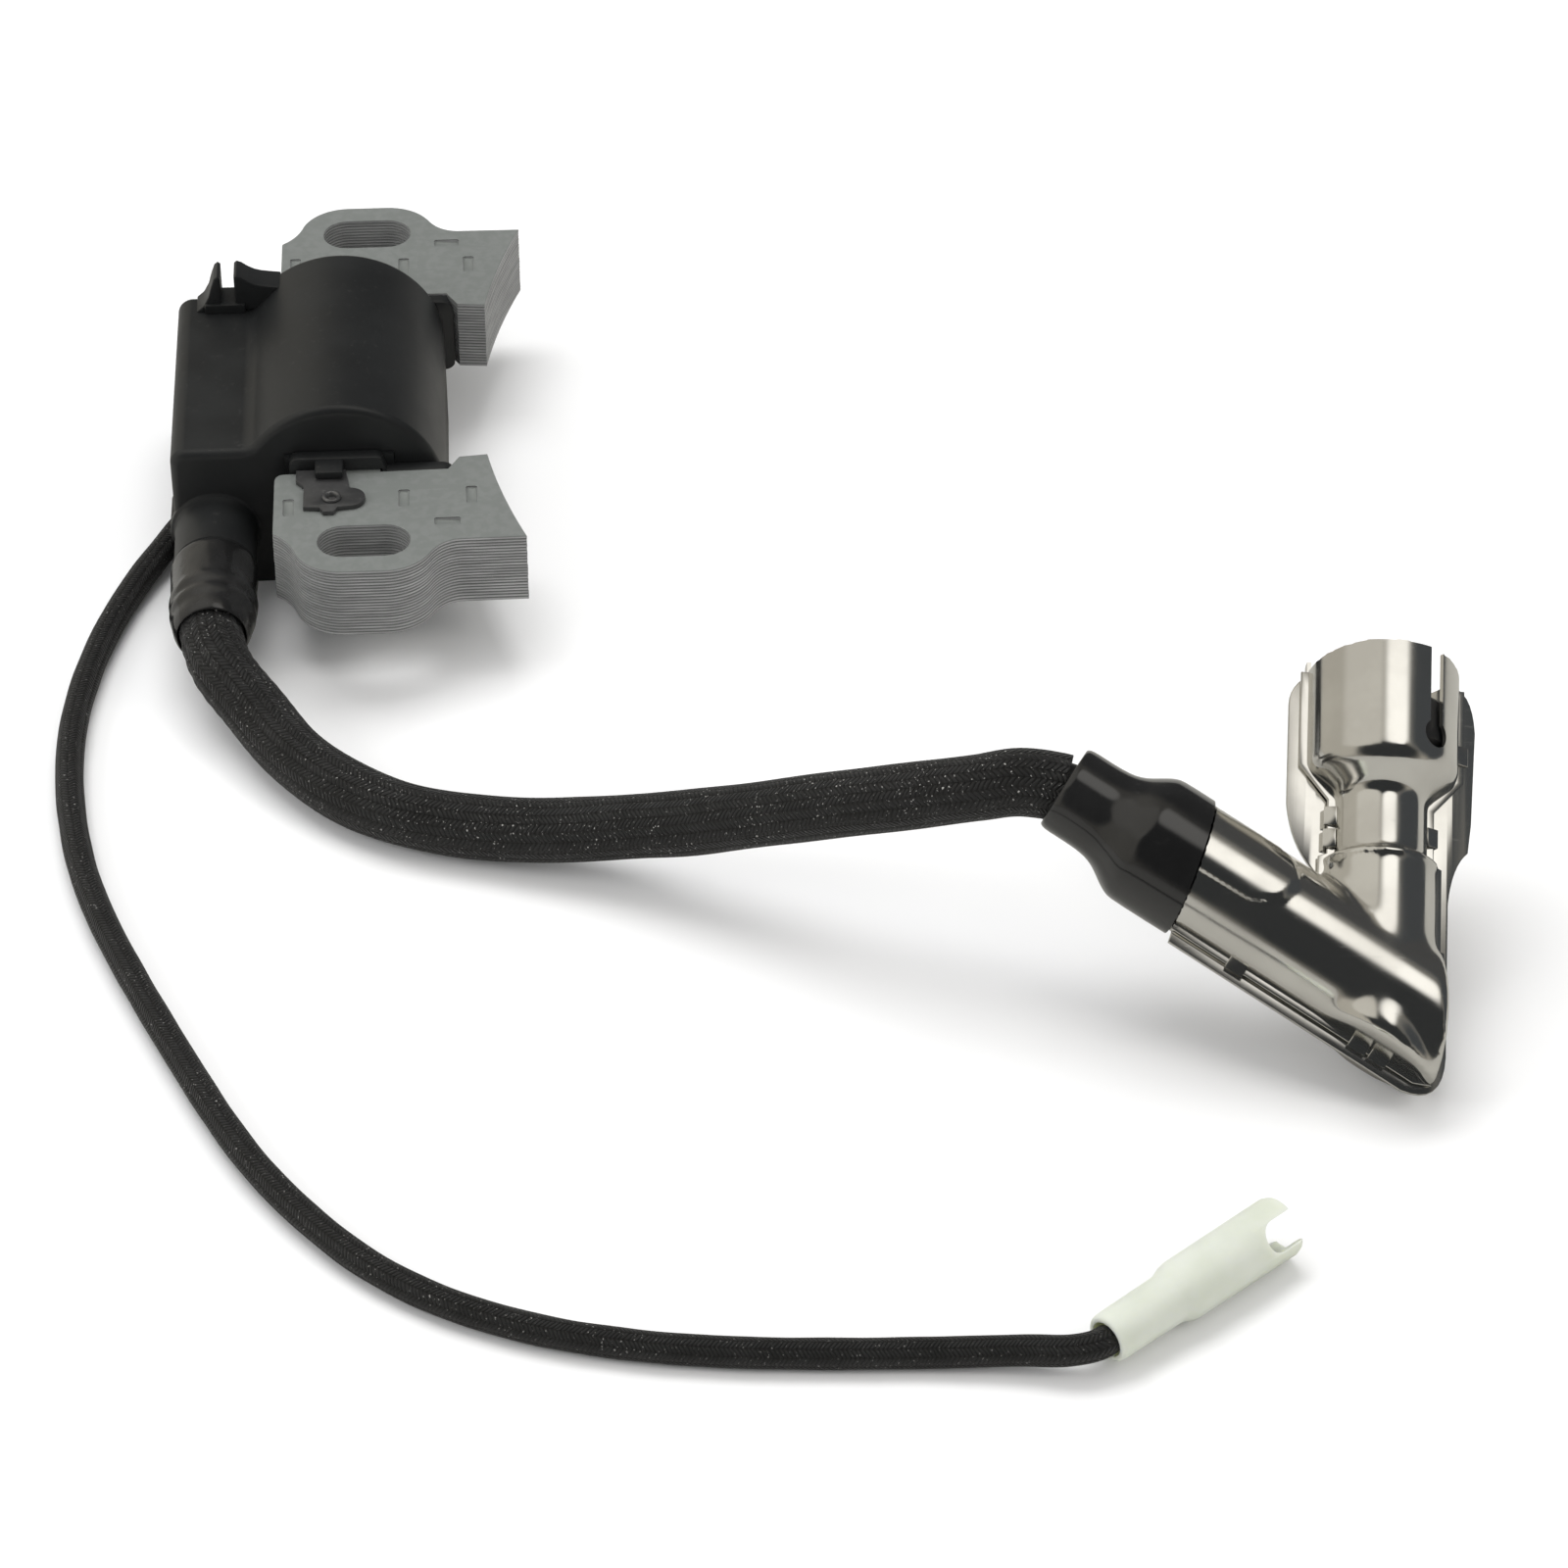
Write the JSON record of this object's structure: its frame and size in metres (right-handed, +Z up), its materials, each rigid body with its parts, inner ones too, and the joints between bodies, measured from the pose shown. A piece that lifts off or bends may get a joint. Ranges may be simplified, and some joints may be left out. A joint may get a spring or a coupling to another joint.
{
  "type": "ignition coil",
  "caption": "Flywheel-side ignition coil with laminated U core, moulded case, sleeved plug lead with bent metal-shielded plug cap, and a stop wire with push-on connector.",
  "frame": {"origin": "middle of the coil's own footprint, without its cords, at the height of the case's rim, which is what it lies on", "axes": "+X from the coil to the flywheel, +Y along the winding away from the lead outlet, +Z up through the thickness of the core"},
  "size_m": [0.1894, 0.2317, 0.0406],
  "materials": {
    "core_steel": "varnished silicon steel sheet",
    "tab_steel": "dark plated strip",
    "bright_steel": "bright plated",
    "case_plastic": "moulded, satin",
    "resin": "cast",
    "copper": "enamelled copper wire, wound",
    "white_nylon": "natural nylon",
    "board": "coated",
    "ceramic": "bisque",
    "brass": "turned",
    "lead_rubber": "semi-gloss",
    "shrink_tube": "glossy",
    "braid": "woven fibreglass",
    "bakelite": "moulded"
  },
  "bodies": {
    "coil": {"lamination_01": "core_steel", "lamination_02": "core_steel", "lamination_03": "core_steel", "lamination_04": "core_steel", "lamination_05": "core_steel", "lamination_06": "core_steel", "lamination_07": "core_steel", "lamination_08": "core_steel", "lamination_09": "core_steel", "lamination_10": "core_steel", "lamination_11": "core_steel", "lamination_12": "core_steel", "lamination_13": "core_steel", "lamination_14": "core_steel", "lamination_15": "core_steel", "lamination_16": "core_steel", "lamination_17": "core_steel", "lamination_18": "core_steel", "lamination_19": "core_steel", "lamination_20": "core_steel", "lamination_21": "core_steel", "lamination_22": "core_steel", "ground_tab": "tab_steel", "ground_rivet": "bright_steel", "coil_case": "case_plastic", "potting_resin": "resin", "primary_bobbin": "white_nylon", "primary_winding": "copper", "secondary_bobbin": "case_plastic", "end_collar_far": "case_plastic", "end_collar_near": "case_plastic", "circuit_board": "board", "switching_transistor": "case_plastic", "bias_resistor": "ceramic", "ht_terminal": "brass", "plug_lead": "lead_rubber", "lead_sleeve": "braid", "heat_shrink": "shrink_tube", "wire_grommet": "lead_rubber", "stop_wire": "lead_rubber", "wire_sleeve": "braid", "connector_shell": "white_nylon", "connector_receptacle": "brass", "secondary_winding_1": "copper", "secondary_winding_2": "copper", "secondary_winding_3": "copper", "secondary_winding_4": "copper", "secondary_winding_5": "copper"},
    "plug_cap": {"shield_near": "bright_steel", "shield_far": "bright_steel", "cap_insulator": "bakelite", "lead_screw": "brass", "suppressor_resistor": "ceramic", "plug_contact": "bright_steel", "plug_seal": "lead_rubber", "cap_boot": "shrink_tube"}
  },
  "joints": [
    {"name": "cap_swivel", "type": "hinge", "parent": "coil", "child": "plug_cap", "pos_m": [0.13286, -0.12922, 0.0116], "axis": [-0.8195, 0.4266, 0.3827], "range_deg": [-90, 90]}
  ]
}
